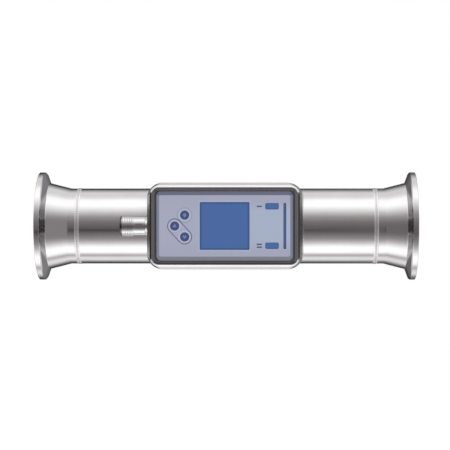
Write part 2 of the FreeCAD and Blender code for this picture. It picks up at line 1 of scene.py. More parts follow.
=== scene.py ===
import bmesh
import bpy
import math
import numpy as np
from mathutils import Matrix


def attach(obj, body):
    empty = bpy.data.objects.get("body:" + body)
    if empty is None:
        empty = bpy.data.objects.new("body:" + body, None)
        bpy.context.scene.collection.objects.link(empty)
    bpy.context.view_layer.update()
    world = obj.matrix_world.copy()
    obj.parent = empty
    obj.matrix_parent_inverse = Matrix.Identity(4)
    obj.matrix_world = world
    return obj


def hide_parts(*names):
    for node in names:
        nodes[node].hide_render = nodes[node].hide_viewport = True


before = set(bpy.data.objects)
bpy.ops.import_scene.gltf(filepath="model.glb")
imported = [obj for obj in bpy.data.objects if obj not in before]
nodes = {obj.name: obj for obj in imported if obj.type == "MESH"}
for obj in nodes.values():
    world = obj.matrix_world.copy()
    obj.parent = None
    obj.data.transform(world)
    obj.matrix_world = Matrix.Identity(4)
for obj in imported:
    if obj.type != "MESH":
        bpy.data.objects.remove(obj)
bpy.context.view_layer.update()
mm = 0.001
print("frame loaded,", len(nodes), "nodes")


def roundedPath(rows, steps=6):
    # Closed path whose corners become arcs. An arc is the rational quadratic curve between its two
    # tangent points, with the corner as control point and the cosine of half the turn as its weight.
    # A row starts with its place in two numbers and ends with its corner's radius, and any numbers
    # between them follow along.
    rows = np.array(rows, float)
    points, radii = rows[:, :-1], rows[:, -1]
    before, after = np.roll(points, 1, axis=0), np.roll(points, -1, axis=0)
    share = np.linspace(0, 1, steps + 1)[:, None]
    sideShare, leastRadius = 0.98, 0.02  # what two arcs may take of a side, and what a sharp corner claims
    made = []
    for i, (corner, radius) in enumerate(zip(points, radii)):
        back, ahead = before[i] - corner, after[i] - corner
        backLength, aheadLength = np.hypot(*back[:2]), np.hypot(*ahead[:2])
        if radius <= 0 or min(backLength, aheadLength) < 1e-6:
            made.append(corner[None])
            continue
        back, ahead = back / backLength, ahead / aheadLength
        turn = math.acos(np.clip(-np.dot(back[:2], ahead[:2]), -1, 1))
        backShare = radius / (radius + max(radii[i - 1], leastRadius))
        aheadShare = radius / (radius + max(radii[(i + 1) % len(radii)], leastRadius))
        reach = min(radius * math.tan(turn / 2), sideShare * backShare * backLength,
                    sideShare * aheadShare * aheadLength)
        weight = math.cos(turn / 2)
        low, middle, high = (1 - share) ** 2, 2 * weight * share * (1 - share), share ** 2
        curve = low * (corner + reach * back) + middle * corner + high * (corner + reach * ahead)
        made.append(curve / (low + middle + high))
    return np.vstack(made)


def evenPath(points, radius, steps=3):
    # a rounded path with the same radius at all its corners
    return roundedPath([(*point, radius) for point in points], steps)


def newObject(name, data):
    # an object for its data, in the scene
    made = bpy.data.objects.new(name, data)
    bpy.context.scene.collection.objects.link(made)
    return made


def faceOutwards(mesh):
    # turns every face away from the solid that it closes
    work = bmesh.new()
    work.from_mesh(mesh)
    bmesh.ops.recalc_face_normals(work, faces=work.faces)
    work.to_mesh(mesh)
    work.free()


def gridPiece(name, grid, closed=False, sheet=False):
    # Mesh from a grid of points (run, ring, xyz) in millimetres: each cell is a quad. Its rings are
    # closed, and its run is closed too or has a flat face at each end. A sheet is open all round.
    run, ring = grid.shape[:2]
    rim = index = np.arange(run * ring).reshape(run, ring)
    if not sheet:
        index = np.hstack([index, index[:, :1]])
    if closed:
        index = np.vstack([index, index[:1]])
    quads = np.stack([index[:-1, :-1], index[:-1, 1:], index[1:, 1:], index[1:, :-1]], -1)
    faces = quads.reshape(-1, 4).tolist()
    if not closed and not sheet:
        faces += [rim[0, ::-1].tolist(), rim[-1].tolist()]
    mesh = bpy.data.meshes.new(name)
    mesh.from_pydata((grid.reshape(-1, 3) * mm).tolist(), [], faces)
    faceOutwards(mesh)
    return newObject(name, mesh)


def turnedPiece(name, path, steps=192, axis="x", at=(0, 0), relief=None, closed=True):
    # Surface of revolution: each point (place along the axis, radius) of the path runs round the axis,
    # at the radius times the angle's cosine and sine. relief(place, angle, radius) is added to the
    # radius.
    path = np.array(path, float)
    angle = np.linspace(0, 2 * math.pi, steps, endpoint=False)[None, :]
    place = np.repeat(path[:, :1], steps, axis=1)
    radius = np.repeat(path[:, 1:2], steps, axis=1)
    if relief is not None:
        radius = radius + relief(place, np.repeat(angle, len(path), axis=0), radius)
    if axis == "x":
        grid = np.stack([place, at[0] - radius * np.cos(angle), at[1] + radius * np.sin(angle)], -1)
    else:
        grid = np.stack([at[0] + radius * np.cos(angle), place, at[1] + radius * np.sin(angle)], -1)
    return gridPiece(name, grid, closed)


def loftedPiece(name, stations, cornerSteps=10, at=(0, 0), closed=False):
    # Rounded rectangles strung along Y: a station is (y, half width, half height, corner radius), and
    # a point on it is the corner's centre plus the corner radius at the ring's angle.
    stations = np.array(stations, float)
    turn = (np.arange(4)[:, None] * 90 + np.linspace(0, 90, cornerSteps + 1)[None, :]).reshape(-1)
    turn = np.radians(turn)[None, :]
    sideX = np.repeat([1, -1, -1, 1], cornerSteps + 1)[None, :]
    sideZ = np.repeat([1, 1, -1, -1], cornerSteps + 1)[None, :]
    y, halfX, halfZ, corner = (stations[:, i:i + 1] for i in range(4))
    x = at[0] + sideX * (halfX - corner) + corner * np.cos(turn)
    z = at[1] + sideZ * (halfZ - corner) + corner * np.sin(turn)
    return gridPiece(name, np.stack([x, np.repeat(y, x.shape[1], axis=1), z], -1), closed)


def vertexPlaces(piece):
    # its vertices as rows of x, y, z in metres
    places = np.zeros(len(piece.data.vertices) * 3)
    piece.data.vertices.foreach_get("co", places)
    return places.reshape(-1, 3)


def joined(name, pieces):
    # several pieces as one, with all their vertices and faces in one mesh
    whole = bmesh.new()
    for piece in pieces:
        whole.from_mesh(piece.data)
        bpy.data.objects.remove(piece)
    mesh = bpy.data.meshes.new(name)
    whole.to_mesh(mesh)
    whole.free()
    return newObject(name, mesh)


def combine(piece, tool, operation):
    # What lies in the piece and not in the tool is kept, or what lies in either. The result is kept as
    # plain mesh.
    step = piece.modifiers.new(operation, "BOOLEAN")
    step.operation, step.solver, step.object = operation, "EXACT", tool
    depsgraph = bpy.context.evaluated_depsgraph_get()
    made = bpy.data.meshes.new_from_object(piece.evaluated_get(depsgraph))
    piece.modifiers.clear()
    piece.data = made
    bpy.data.objects.remove(tool)


def settle(piece, material, body="meter", stands=(), sharp=35):
    # smooth shading with crisp edges, then its material, its body and the CAD nodes it stands for
    mesh = piece.data
    mesh.materials.clear()
    mesh.materials.append(material)
    mesh.shade_smooth()
    mesh.set_sharp_from_angle(angle=math.radians(sharp))
    weights = piece.modifiers.new("weights", "WEIGHTED_NORMAL")
    weights.keep_sharp = True
    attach(piece, body)
    if stands:
        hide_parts(*stands)


def linear(hexText, level=1.0):
    # sRGB hex to linear light, times a level
    code = hexText.lstrip("#")
    values = [int(code[i:i + 2], 16) / 255 for i in (0, 2, 4)]
    light = [v / 12.92 if v <= 0.04045 else ((v + 0.055) / 1.055) ** 2.4 for v in values]
    return (*[v * level for v in light], 1.0)


def grey(level):
    # the same level of red, green and blue light
    return (level, level, level, 1)


def addNode(tree, kind, inputs=None, out=0, stops=None, **settings):
    # One node with its settings, and its sockets set to a value or linked to another node's socket. It
    # hands back the output that out names, or the node itself where that is None.
    node = tree.nodes.new("ShaderNode" + kind)
    for key, value in settings.items():
        setattr(node, key, value)
    for key, value in (inputs or {}).items():
        if isinstance(value, bpy.types.NodeSocket):
            tree.links.new(value, node.inputs[key])
        else:
            node.inputs[key].default_value = value
    if stops:
        marks = node.color_ramp.elements
        while len(marks) < len(stops):
            marks.new(0.5)
        for mark, (place, colour) in zip(marks, stops):
            mark.position, mark.color = place, colour
    return node if out is None else node.outputs[out]


def newMaterial(name, **surface):
    # a principled surface whose even values are set on its own sockets
    material = bpy.data.materials.new(name)
    material.use_nodes = True
    tree = material.node_tree
    shader = tree.nodes["Principled BSDF"]
    for key, value in surface.items():
        shader.inputs[key.replace("_", " ")].default_value = value
    return material, tree, shader


def millimetres(tree, stretch=(1, 1, 1)):
    # the piece's own coordinates, so that a texture scale of 1 is one cell per millimetre
    return addNode(tree, "Mapping", {
        "Vector": addNode(tree, "TexCoord", out="Object"), "Scale": [s / mm for s in stretch]})


def along(tree, axis):
    # the place along one axis, in mm
    return addNode(tree, "SeparateXYZ", {"Vector": millimetres(tree)}, axis)


def outFromMiddle(tree, axis):
    # the place along one axis without its sign, in mm
    return addNode(tree, "Math", {0: along(tree, axis)}, operation="ABSOLUTE")


def fadeAlong(tree, axis, low, high):
    # 0 below low and 1 above high, in mm along one axis, with a soft start and end
    return addNode(tree, "MapRange", {"Value": along(tree, axis), "From Min": low, "From Max": high},
                   interpolation_type="SMOOTHSTEP")


def within(tree, axis, half):
    # 1 nearer to the middle than half, in mm along one axis
    return addNode(tree, "Math", {0: outFromMiddle(tree, axis), 1: half}, operation="LESS_THAN")


def gathered(tree, operation, *factors):
    # several factors in one: MULTIPLY holds where all of them do, and MAXIMUM where any does
    whole = factors[0]
    for factor in factors[1:]:
        whole = addNode(tree, "Math", {0: whole, 1: factor}, operation=operation)
    return whole


def coated(tree, colour, *coats, blend="MIX"):
    # a colour under coats, each given by how far it covers, from 0 to 1, and its own colour
    for cover, coat in coats:
        colour = addNode(tree, "Mix", {0: cover, 6: colour, 7: coat}, 2, data_type="RGBA", blend_type=blend)
    return colour


def linkSurface(tree, shader, colour, height, depth, rough=None):
    # the colour, a relief that is depth mm high, and the roughness where it varies
    bump = addNode(tree, "Bump", {"Height": height, "Strength": 1.0, "Distance": depth * mm})
    tree.links.new(colour, shader.inputs["Base Color"])
    tree.links.new(bump, shader.inputs["Normal"])
    if rough is not None:
        tree.links.new(rough, shader.inputs["Roughness"])


def grainedMetal(name, colour, roughness, grain, depth, stretch=(1, 1, 1), marks=None, tint=None):
    # Bare or plated metal: its fine grain, left by drawing, turning or polishing, blurs what it mirrors
    # across the grain. grain is its spacing and depth its height in mm, and stretch, where it is under
    # 1, draws it out along that axis. Real polishing lines, about 0.03 mm apart, and a turning tool's
    # marks, about 0.15 mm apart, wouldn't show, so both are drawn coarser. tint lays other tones over
    # the metal's own.
    cloud, cloudSize = 0.03, 14.0  # how far its tone drifts, and over how many mm
    waveLength = 0.3142  # of a wave texture whose scale is 1
    material, tree, shader = newMaterial(name, Metallic=1.0)
    height = fine = addNode(tree, "TexNoise", {
        "Vector": millimetres(tree, stretch), "Scale": 1 / grain, "Detail": 3.0, "Roughness": 0.6})
    broad = addNode(tree, "TexNoise", {"Vector": millimetres(tree), "Scale": 1 / cloudSize, "Detail": 2.0})
    tone = addNode(tree, "MapRange", {"Value": broad, "From Min": 0.3, "From Max": 0.7})
    shade = coated(tree, linear(colour, 1 - cloud), (tone, linear(colour, 1 + cloud)))
    rough = addNode(tree, "MapRange", {
        "Value": fine, "From Min": 0.25, "From Max": 0.75,
        "To Min": roughness * 0.8, "To Max": roughness * 1.25})
    if marks:
        wave = addNode(tree, "TexWave", {
            "Vector": millimetres(tree), "Scale": waveLength / marks["pitch"], "Distortion": 0.6,
            "Detail": 1.0, "Detail Scale": 0.4}, "Fac", bands_direction="X")
        height = addNode(tree, "Math", {0: wave, 1: marks["share"], 2: fine}, operation="MULTIPLY_ADD")
    linkSurface(tree, shader, tint(tree, shade) if tint else shade, height, depth, rough)
    return material


def moulded(name, colour, roughness, texture, depth):
    # Moulded plastic or rubber, or printed ink: a dielectric with the fine spark texture of its mould.
    # Real pits, about 0.05 mm wide, wouldn't show, so they are drawn texture mm wide.
    drift, driftSize = 0.04, 20.0  # how far its tone drifts, and over how many mm
    material, tree, shader = newMaterial(name)
    where = millimetres(tree)
    spark = addNode(tree, "TexNoise", {"Vector": where, "Scale": 1 / texture, "Detail": 2.0})
    broad = addNode(tree, "TexNoise", {"Vector": where, "Scale": 1 / driftSize})
    shade = coated(tree, linear(colour, 1 - drift), (broad, linear(colour, 1 + drift)))
    rough = addNode(tree, "MapRange", {
        "Value": spark, "From Min": 0.3, "From Max": 0.7,
        "To Min": roughness * 0.9, "To Max": roughness * 1.1})
    linkSurface(tree, shader, shade, spark, depth, rough)
    return material


# measuring tube, welds and ferrules, in mm from the middle of the tube
tube = {
    "radius": 22.4, "bore": 19.25,
    "inside": 22.25, "insideHalf": 39.4,  # turned down a little inside the head
    "flatHalf": 39.0, "flatY": -21.0,  # the flat that the transducers sit on
}
weld = {
    "start": 86.302, "end": 89.102, "crown": 0.19, "ripple": 0.04, "ripplePitch": 1.1, "bow": 2.2, "sway": 0.6,
    # the bead's tones by distance from its middle; the palest, at 0.68, are painted highlights
    "tones": [(0.0, "#CBC8CA"), (0.35, "#CFCCCE"), (0.68, "#F0EEF0"), (1.0, "#CBC8CA")],  # middle to edge
}
ferrule = {
    "face": 111.6, "rim": 108.5, "bevel": (107.8, 31.3), "flange": 32.0, "neck": 25.7, "root": 105.75,
    "cone": 92.9, "mouth": 23.75, "mouthDepth": 5.0, "throat": 90.202,
    "groove": 28.25, "grooveWidth": 2.6, "grooveDepth": 1.2, "grooveSlope": 0.35,
    # height in mm and share of the brightness left there, set against the photograph
    "slopeTones": [(0.0, 0.6), (2.0, 0.5), (4.0, 0.36), (6.0, 0.24), (9.0, 0.21), (11.0, 0.44), (14.0, 0.9)],
}


def tubePiece():
    # A turned tube: outside the head it is as thick as its ferrules, and inside it is thinner, with its
    # front brought back to the flat.
    t = tube
    half = [(t["flatHalf"] - 0.01, t["inside"]), (t["flatHalf"], t["inside"]), (t["insideHalf"], t["inside"]),
            (t["insideHalf"] + 0.1, t["radius"]), (weld["start"], t["radius"])]
    outer = [(-x, radius) for x, radius in half[::-1]] + half
    inner = [(weld["start"], t["bore"]), (-weld["start"], t["bore"])]
    piece = turnedPiece("drawnTube", outer + inner, steps=256)
    place = vertexPlaces(piece)
    flat = np.abs(place[:, 0]) < (t["flatHalf"] - 0.005) * mm
    place[flat, 1] = np.maximum(place[flat, 1], t["flatY"] * mm)
    piece.data.vertices.foreach_set("co", place.reshape(-1))
    return piece


def weldPiece(name, side):
    # The bead's crown is a parabola across its width, 1 less the square of the place across. Its
    # ripples, where each pulse of the torch froze, are a sine of the angle, bowed and swaying a little.
    w, radius = weld, tube["radius"]
    middle, half = (w["start"] + w["end"]) / 2, (w["end"] - w["start"]) / 2
    ripples = round(2 * math.pi * radius / w["ripplePitch"])

    def swell(place):
        # 1 along the middle of the bead and 0 along its edges
        return 1 - ((np.abs(place) - middle) / half) ** 2

    def relief(place, angle, reach):
        # on the crown only, not in the bore
        wave = np.sin(ripples * angle + w["bow"] * (1 - swell(place)) + w["sway"] * np.sin(5 * angle))
        return np.where(reach > radius - 0.1, w["ripple"] * wave * swell(place), 0)

    x = np.linspace(w["start"], w["end"], 15)
    crown = np.column_stack([x, radius + w["crown"] * swell(x)])
    path = np.vstack([crown, [(w["end"], tube["bore"]), (w["start"], tube["bore"])]]) * [side, 1]
    return turnedPiece(name, path, steps=ripples * 6, relief=relief)


def ferrulePath(side):
    # From the weld up the cone and the clamp slope to the rim, down the gasket face with its groove, and
    # back along the bore. A row is the place along the tube, the radius and the fillet.
    f = ferrule
    start, face, grooveBack = weld["end"], f["face"], f["face"] - f["grooveDepth"]
    low, high = f["groove"] - f["grooveWidth"] / 2, f["groove"] + f["grooveWidth"] / 2
    slope = f["grooveSlope"]
    path = roundedPath([
        (start, tube["bore"], 0), (start, tube["radius"], 0.05), (f["cone"], tube["radius"], 5.0),
        (f["root"], f["neck"], 0.6), (*f["bevel"], 0.4), (f["rim"], f["flange"], 0.4),
        (face, f["flange"], 0.35), (face, high, 0.25), (grooveBack, high - slope, 1.1),
        (grooveBack, low + slope, 1.1), (face, low, 0.25), (face, f["mouth"], 0.3),
        (face - f["mouthDepth"], f["mouth"], 4.0), (f["throat"], tube["bore"], 6.0),
    ], steps=7)
    return path * [side, 1]


def slopeShade(tree, steel):
    # The sloping back of the clamp flange is darker in the photograph than this studio makes it, most
    # near half its height. These tones, by height, stand for what it mirrored there and not for wear.
    f = ferrule
    far = outFromMiddle(tree, 0)
    past = addNode(tree, "Math", {0: far, 1: f["root"] + 0.05}, operation="GREATER_THAN")
    short = addNode(tree, "Math", {0: far, 1: f["rim"] - 0.1}, operation="LESS_THAN")
    share = addNode(tree, "Math", {0: outFromMiddle(tree, 2), 1: f["flange"]}, operation="DIVIDE")
    shaded = addNode(tree, "ValToRGB", {"Fac": share}, stops=[
        (height / f["flange"], grey(tone)) for height, tone in f["slopeTones"]])
    return coated(tree, steel, (gathered(tree, "MULTIPLY", past, short), shaded), blend="MULTIPLY")


def weldHighlightLines(tree, steel):
    # the weld's tones in place of the steel's, by the distance from the middle of the bead: its own pale metal,
    # with painted highlights as the two palest lines along its edges
    middle, half = (weld["start"] + weld["end"]) / 2, (weld["end"] - weld["start"]) / 2
    offset = addNode(tree, "Math", {0: outFromMiddle(tree, 0), 1: middle}, operation="SUBTRACT")
    offset = addNode(tree, "Math", {0: offset}, operation="ABSOLUTE")
    share = addNode(tree, "MapRange", {"Value": offset, "From Max": half})
    return addNode(tree, "ValToRGB", {"Fac": share}, stops=[
        (place, linear(colour)) for place, colour in weld["tones"]])


# Drawn stainless steel: bright, with a faint grain along the tube.
drawnSteel = grainedMetal("drawnStainlessSteel", "#D5D4D4", 0.13, 0.16, 0.0016, (0.02, 1, 1))
# Turned stainless steel: bright, with fine rings from the tool.
turnedSteel = grainedMetal("turnedStainlessSteel", "#D3D2D2", 0.15, 0.10, 0.0012, (1, 0.03, 0.03),
                           marks={"pitch": 0.7, "share": 1.2}, tint=slopeShade)
# Frozen weld metal, brushed clean: matt and pale, with painted highlights as the two palest lines along its
# edges.
weldSteel = grainedMetal("brushedWeldMetal", "#CBC8CA", 0.4, 0.3, 0.012, tint=weldHighlightLines)
settle(tubePiece(), drawnSteel, stands=["measuring_tube"])
for side, end in ((-1, "inlet"), (1, "outlet")):
    settle(turnedPiece(end + "FerruleTurned", ferrulePath(side), steps=256), turnedSteel,
           stands=[end + "_ferrule"], sharp=50)
    settle(weldPiece(end + "WeldBead", side), weldSteel, stands=[end + "_weld"], sharp=60)
print("tube, welds and ferrules made")


# display housing, whose first four entries are y, half width, half height, corner radius and fillet
head = {
    "lipEdge": (-62.0, 41.05, 21.72, 4.1, 0.5), "band": (-61.0, 42.15, 22.9, 5.6, 0.5),
    "shoulder": (-58.5, 43.8, 24.42, 9.0, 0.5), "foot": (-24.0, 44.75, 25.2, 9.0, 30.0),
    "lipChamfer": 0.15, "lipLow": 0.5, "lipHigh": 0.74, "lipSide": 0.95, "lipFade": 19.0,
    "recessX": 39.25, "recessZ": 20.0, "recessCorner": 3.1, "recessShade": (0.52, 0.56, 0.7, 1),
    "ledge": -59.4, "ledgeBack": -57.6, "opening": (36.8, 17.2, 1.5),
    "wall": 2.8, "cavityCorner": 2.7, "cavityDraft": 0.9, "floor": -10.0,
    "sleeve": 25.4, "sleeveHalf": 40.0, "sleeveRound": 1.8, "hole": 22.45,
}
plug = {
    "y": -44.0, "seat": -45.6, "seatRadius": 5.9, "bossRadius": 7.8, "bossFoot": -42.6, "bossSunk": 3.0,
    "nutSeat": -39.8, "spigotHole": 4.6, "pocket": 5.2, "pocketDepth": 1.0,
}
poleRadius = 0.001  # a turned path that reaches the axis ends this far from it, and its cap closes it


def headStations():
    # Rounded rectangles from the back of the outer wall to its front, round over the lip, and down into
    # the recess and the cavity, with a fillet between each two slopes.
    h, foot, lip = head, head["foot"], head["lipEdge"][0]
    cavity = np.array([foot[1] - h["wall"], foot[2] - h["wall"], h["cavityCorner"]])
    recess = np.array([h["recessX"], h["recessZ"], h["recessCorner"]])
    return roundedPath([
        (0, *foot[1:4], 0), foot, h["shoulder"], h["band"], h["lipEdge"],
        (lip, *(recess + h["lipChamfer"]), 0.25), (lip + h["lipChamfer"], *recess, 0.3),
        (h["ledge"], *recess, 0.15), (h["ledge"], *h["opening"], 0.1), (h["ledgeBack"], *h["opening"], 0.1),
        (h["ledgeBack"], *(cavity - h["cavityDraft"]), 0.3), (foot[0], *cavity, foot[4]),
        (h["floor"], *cavity, 0),
    ], steps=8)


def sleevePiece():
    # The saddle behind the tube: each (place, radius) of its outline runs half way round the tube, at
    # the radius times the angle's cosine and sine, and then 1 mm forward into the head on both sides.
    half, reach, fillet = head["sleeveHalf"], head["sleeve"], head["sleeveRound"]
    path = roundedPath([(-half, 0, 0), (-half, reach, fillet), (half, reach, fillet), (half, 0, 0)], steps=8)
    place, radius = path[1:-1, :1], path[1:-1, 1:]
    angle = np.radians(np.linspace(-90, 90, 129))[None, :]
    arc = np.stack([np.repeat(place, 129, axis=1), radius * np.cos(angle), radius * np.sin(angle)], -1)
    low, high = (np.stack([place, np.full_like(place, -1.0), side * radius], -1) for side in (-1, 1))
    return gridPiece("sleeve", np.concatenate([low, arc, high], axis=1))


def headPiece():
    # the lofted head with the saddle and the plug's round boss joined on, less the tube's hole, the
    # spigot's hole and the pocket for the seal
    h, p = head, plug
    piece = loftedPiece("castHead", headStations(), cornerSteps=12)
    combine(piece, sleevePiece(), "UNION")
    sunk = p["bossFoot"] + p["bossSunk"]
    boss = roundedPath([
        (sunk, poleRadius, 0), (sunk, p["bossRadius"], 0), (p["bossFoot"], p["bossRadius"], 3.0),
        (p["seat"], p["seatRadius"], 0.3), (p["seat"], poleRadius, 0)])
    combine(piece, turnedPiece("boss", boss, steps=96, at=(p["y"], 0), closed=False), "UNION")
    for radius, start, end, at in (
        (h["hole"], -60, 60, (0, 0)),
        (p["spigotHole"], p["seat"] - 1, p["nutSeat"] + 1, (p["y"], 0)),
        (p["pocket"], p["seat"] - 1, p["seat"] + p["pocketDepth"], (p["y"], 0)),
    ):
        tool = turnedPiece("cutter", [(start, radius), (end, radius)], steps=256, at=at, closed=False)
        combine(piece, tool, "DIFFERENCE")
    return piece


def headShade(tree, steel):
    # The lip round the panel is toned side by side, darkest below, and the recess and the cavity are
    # toned dark. These tones follow the photograph's shading and not a finish that it shows.
    h, lip, fade = head, head["lipEdge"][0], head["lipFade"]
    ground = coated(tree, grey(h["lipLow"]), (fadeAlong(tree, 2, -fade, fade), grey(h["lipHigh"])),
                    (within(tree, 2, h["recessZ"] + 0.05), grey(h["lipSide"])))
    front = addNode(tree, "Math", {0: along(tree, 1), 1: h["floor"] + 0.1}, operation="LESS_THAN")
    recess = gathered(tree, "MULTIPLY", within(tree, 0, h["recessX"] + 0.06),
                      within(tree, 2, h["recessZ"] + 0.06), front)
    tone = coated(tree, grey(1), (fadeAlong(tree, 1, lip + 0.12, lip + 0.02), ground),
                  (recess, h["recessShade"]))
    return coated(tree, steel, (1.0, tone), blend="MULTIPLY")


# Cast steel, electropolished: a soft mirror outside.
headSteel = grainedMetal("electropolishedCastSteel", "#CECCCD", 0.17, 0.5, 0.003, tint=headShade)
settle(headPiece(), headSteel, stands=["housing"], sharp=40)
print("housing made")


# seam welds where the head meets the tube
seam = {"frontX": 44.8, "backX": 40.05, "size": 0.4, "off": 0.12, "ripple": 0.06, "ripples": 62}


def seamPiece(name, x, side, middle, corner=0.0):
    # A small bead swept half way round the tube, on the side that middle faces, in degrees. Where the
    # head's wall turns its corner, the bead goes in with it by r - sqrt(r^2 - h^2), h being the height
    # above the corner's start.
    s = seam
    turn = np.radians(np.linspace(middle - 90, middle + 90, 121))[:, None]
    section = np.linspace(0, 2 * math.pi, 16, endpoint=False)[None, :]
    ripple = 1 + s["ripple"] * np.sin(turn * s["ripples"])
    radius = tube["radius"] + s["off"] + s["size"] * ripple * np.cos(section)
    above = np.clip(np.abs(tube["radius"] * np.sin(turn)) - (head["foot"][2] - corner), 0, corner)
    inset = corner - np.sqrt(corner ** 2 - above ** 2)
    place = side * (x - inset + s["off"] + s["size"] * ripple * np.sin(section))
    return gridPiece(name, np.stack([place, radius * np.cos(turn), radius * np.sin(turn)], -1))


for side, end in ((-1, "inlet"), (1, "outlet")):
    bead = seamPiece(end + "FrontSeam", seam["frontX"], side, 180, head["foot"][3])
    settle(bead, headSteel, sharp=70)
    settle(seamPiece(end + "BackSeam", seam["backX"], side, 0), headSteel, sharp=70)
print("seams made")


# front panel, its windows as width, height, corner radius, the place of the middle in X and Z and the
# rebate behind, and its buttons' places
panel = {
    "face": -62.6, "faceInset": 1.2, "back": -60.2, "halfX": 38.3, "halfZ": 19.55, "corner": 2.6,
    "bevelX": 1.8, "bevelZ": 2.8, "bevelDepth": 1.0, "flatCorner": 0.8, "lip": 0.18, "rebateDepth": 0.8,
    "hole": 2.47, "holeLip": 0.08, "pocket": 3.7, "pocketDepth": 1.0,
    "postAt": (34.9, 14.9), "post": 1.5, "postHole": 0.9, "postEnd": -56.6,
    "hookX": 20.0, "hookWidth": 5.0, "hookOuter": 17.05, "hookThick": 1.2, "catch": -57.55, "barb": 0.9,
    "tip": 0.8, "sunk": 0.2, "cutPast": 0.3, "cloud": ("#A9ABBE", 0.1, 9.0), "spray": (0.25, 0.002),
}
# after each part's even colour, the tones by place are painted shade and light
panelTones = {  # first the even tone, then each tone with its axis and where in mm it begins and is full
    "face": ["#ACB0C6", ("#ACB9CF", 0, -34, 34), ("#A9ADC1", 2, 7, 16), ("#A9ADC1", 2, -7, -16)],
    "bevel": ["#80869E", ("#86889C", 0, -36.6, -37.4), ("#61647A", 2, 17.0, 17.5),
              ("#80838F", 2, -17.0, -17.5), ("#5A5E6C", 1, -61.55, -61.45)],
}
windows = {
    "pane": (27.7, 26.6, 0.5, (0, 0), 1.0), "bar": (1.45, 25.9, 0.725, (33.7, 0), 0),
    "one": (7.4, 3.5, 0.8, (26.5, 11.05), 0), "two": (7.4, 3.5, 0.8, (26.5, -11.05), 0),
}
keys = {"upper": (-22.4, 6.1), "left": (-28.0, 0.0), "lower": (-22.4, -6.1)}


def windowCutter(width, height, corner, at, rebate):
    # straight hole with a small lead-in round its front edge, and a wider rebate behind where asked
    p, lip = panel, panel["lip"]
    x, z, corner = width / 2, height / 2, min(corner, width / 2 - 0.01)
    mouth = (x + lip, z + lip, corner + lip)
    rows = [(p["face"] - p["cutPast"], *mouth), (p["face"], *mouth), (p["face"] + lip, x, z, corner)]
    if rebate:
        step = p["back"] - p["rebateDepth"]
        rows += [(step, x, z, corner), (step, x + rebate, z + rebate, corner)]
    rows.append((p["back"] + p["cutPast"], x + rebate, z + rebate, corner))
    return loftedPiece("cutter", rows, at=at)


def hookPiece(sideX, sideZ):
    # the snap hook's outline in Y and Z, carried along X
    p, start, end = panel, panel["back"] - panel["sunk"], panel["catch"] + panel["tip"]
    outer, inner = p["hookOuter"], p["hookOuter"] - p["hookThick"]
    outline = roundedPath([
        (start, inner, 0), (start, outer, 0), (p["catch"], outer, 0.1), (p["catch"], outer + p["barb"], 0.1),
        (end, outer, 0.1), (end, inner, 0.3)], steps=3)
    x = sideX * p["hookX"] + np.array([-0.5, 0.5])[:, None] * p["hookWidth"]
    grid = np.stack([np.repeat(x, len(outline), axis=1), np.tile(outline[:, 0], (2, 1)),
                     np.tile(sideZ * outline[:, 1], (2, 1))], -1)
    return gridPiece("hook", grid)


def panelPiece():
    # the lofted plate with its bevelled edge, less its windows and the buttons' stepped holes, with four
    # hollow posts and four snap hooks behind
    p, past = panel, panel["cutPast"]
    flatX, flatZ = p["halfX"] - p["bevelX"], p["halfZ"] - p["bevelZ"]
    piece = loftedPiece("panelShell", roundedPath([
        (p["face"], flatX - p["faceInset"], flatZ - p["faceInset"], 0.1, 0),
        (p["face"], flatX, flatZ, p["flatCorner"], 0.35),
        (p["face"] + p["bevelDepth"], p["halfX"], p["halfZ"], p["corner"], 0.3),
        (p["back"], p["halfX"], p["halfZ"], p["corner"], 0)], steps=5), cornerSteps=8)
    mouth, pocketFloor = p["hole"] + p["holeLip"], p["back"] - p["pocketDepth"]
    hole = [(p["face"] - past, mouth), (p["face"], mouth), (p["face"] + p["holeLip"], p["hole"]),
            (pocketFloor, p["hole"]), (pocketFloor, p["pocket"]), (p["back"] + past, p["pocket"])]
    cutters = [windowCutter(*window) for window in windows.values()]
    cutters += [turnedPiece("cutter", hole, steps=64, axis="y", at=at, closed=False) for at in keys.values()]
    combine(piece, joined("cutters", cutters), "DIFFERENCE")
    root, end, outer, inner = p["back"] - p["sunk"], p["postEnd"], p["post"], p["postHole"]
    post = [(root, inner), (root, outer), (end, outer), (end, inner)]
    fittings = []
    for sideX in (1, -1):
        for sideZ in (1, -1):
            at = (sideX * p["postAt"][0], sideZ * p["postAt"][1])
            fittings += [turnedPiece("post", post, steps=32, axis="y", at=at), hookPiece(sideX, sideZ)]
    combine(piece, joined("fittings", fittings), "UNION")
    return piece


def panelPlastic():
    # Polycarbonate moulding, satin sprayed: even and soft, its bevel darker than its face. Painted shade
    # and light follow the photograph's shading: the face a shade cooler towards the outlet and darker
    # towards the top and the bottom, each side of the bevel its own lighter or darker tone, and a painted
    # shadow on the edge behind the bevel. The spray's grain is drawn 0.25 mm wide so that it shows.
    material, tree, shader = newMaterial("satinPolycarbonate", Roughness=0.42)
    (cloud, cloudShare, cloudSize), (grain, depth), face = panel["cloud"], panel["spray"], panel["face"]

    def toned(part):
        # the even tone under the others, each faded in along its axis
        even, *others = panelTones[part]
        return coated(tree, linear(even), *((fadeAlong(tree, *span), linear(tone)) for tone, *span in others))

    clouds = addNode(tree, "TexNoise", {"Vector": millimetres(tree), "Scale": 1 / cloudSize, "Detail": 2.0})
    clouds = addNode(tree, "Math", {0: clouds, 1: cloudShare}, operation="MULTIPLY")
    front = coated(tree, toned("face"), (clouds, linear(cloud)))
    shade = coated(tree, front, (fadeAlong(tree, 1, face + 0.08, face + 0.2), toned("bevel")))
    spray = addNode(tree, "TexNoise", {"Vector": millimetres(tree), "Scale": 1 / grain, "Detail": 2.0})
    linkSurface(tree, shader, shade, spray, depth)
    return material


settle(panelPiece(), panelPlastic(), stands=["front_panel"], sharp=40)
print("front panel made")


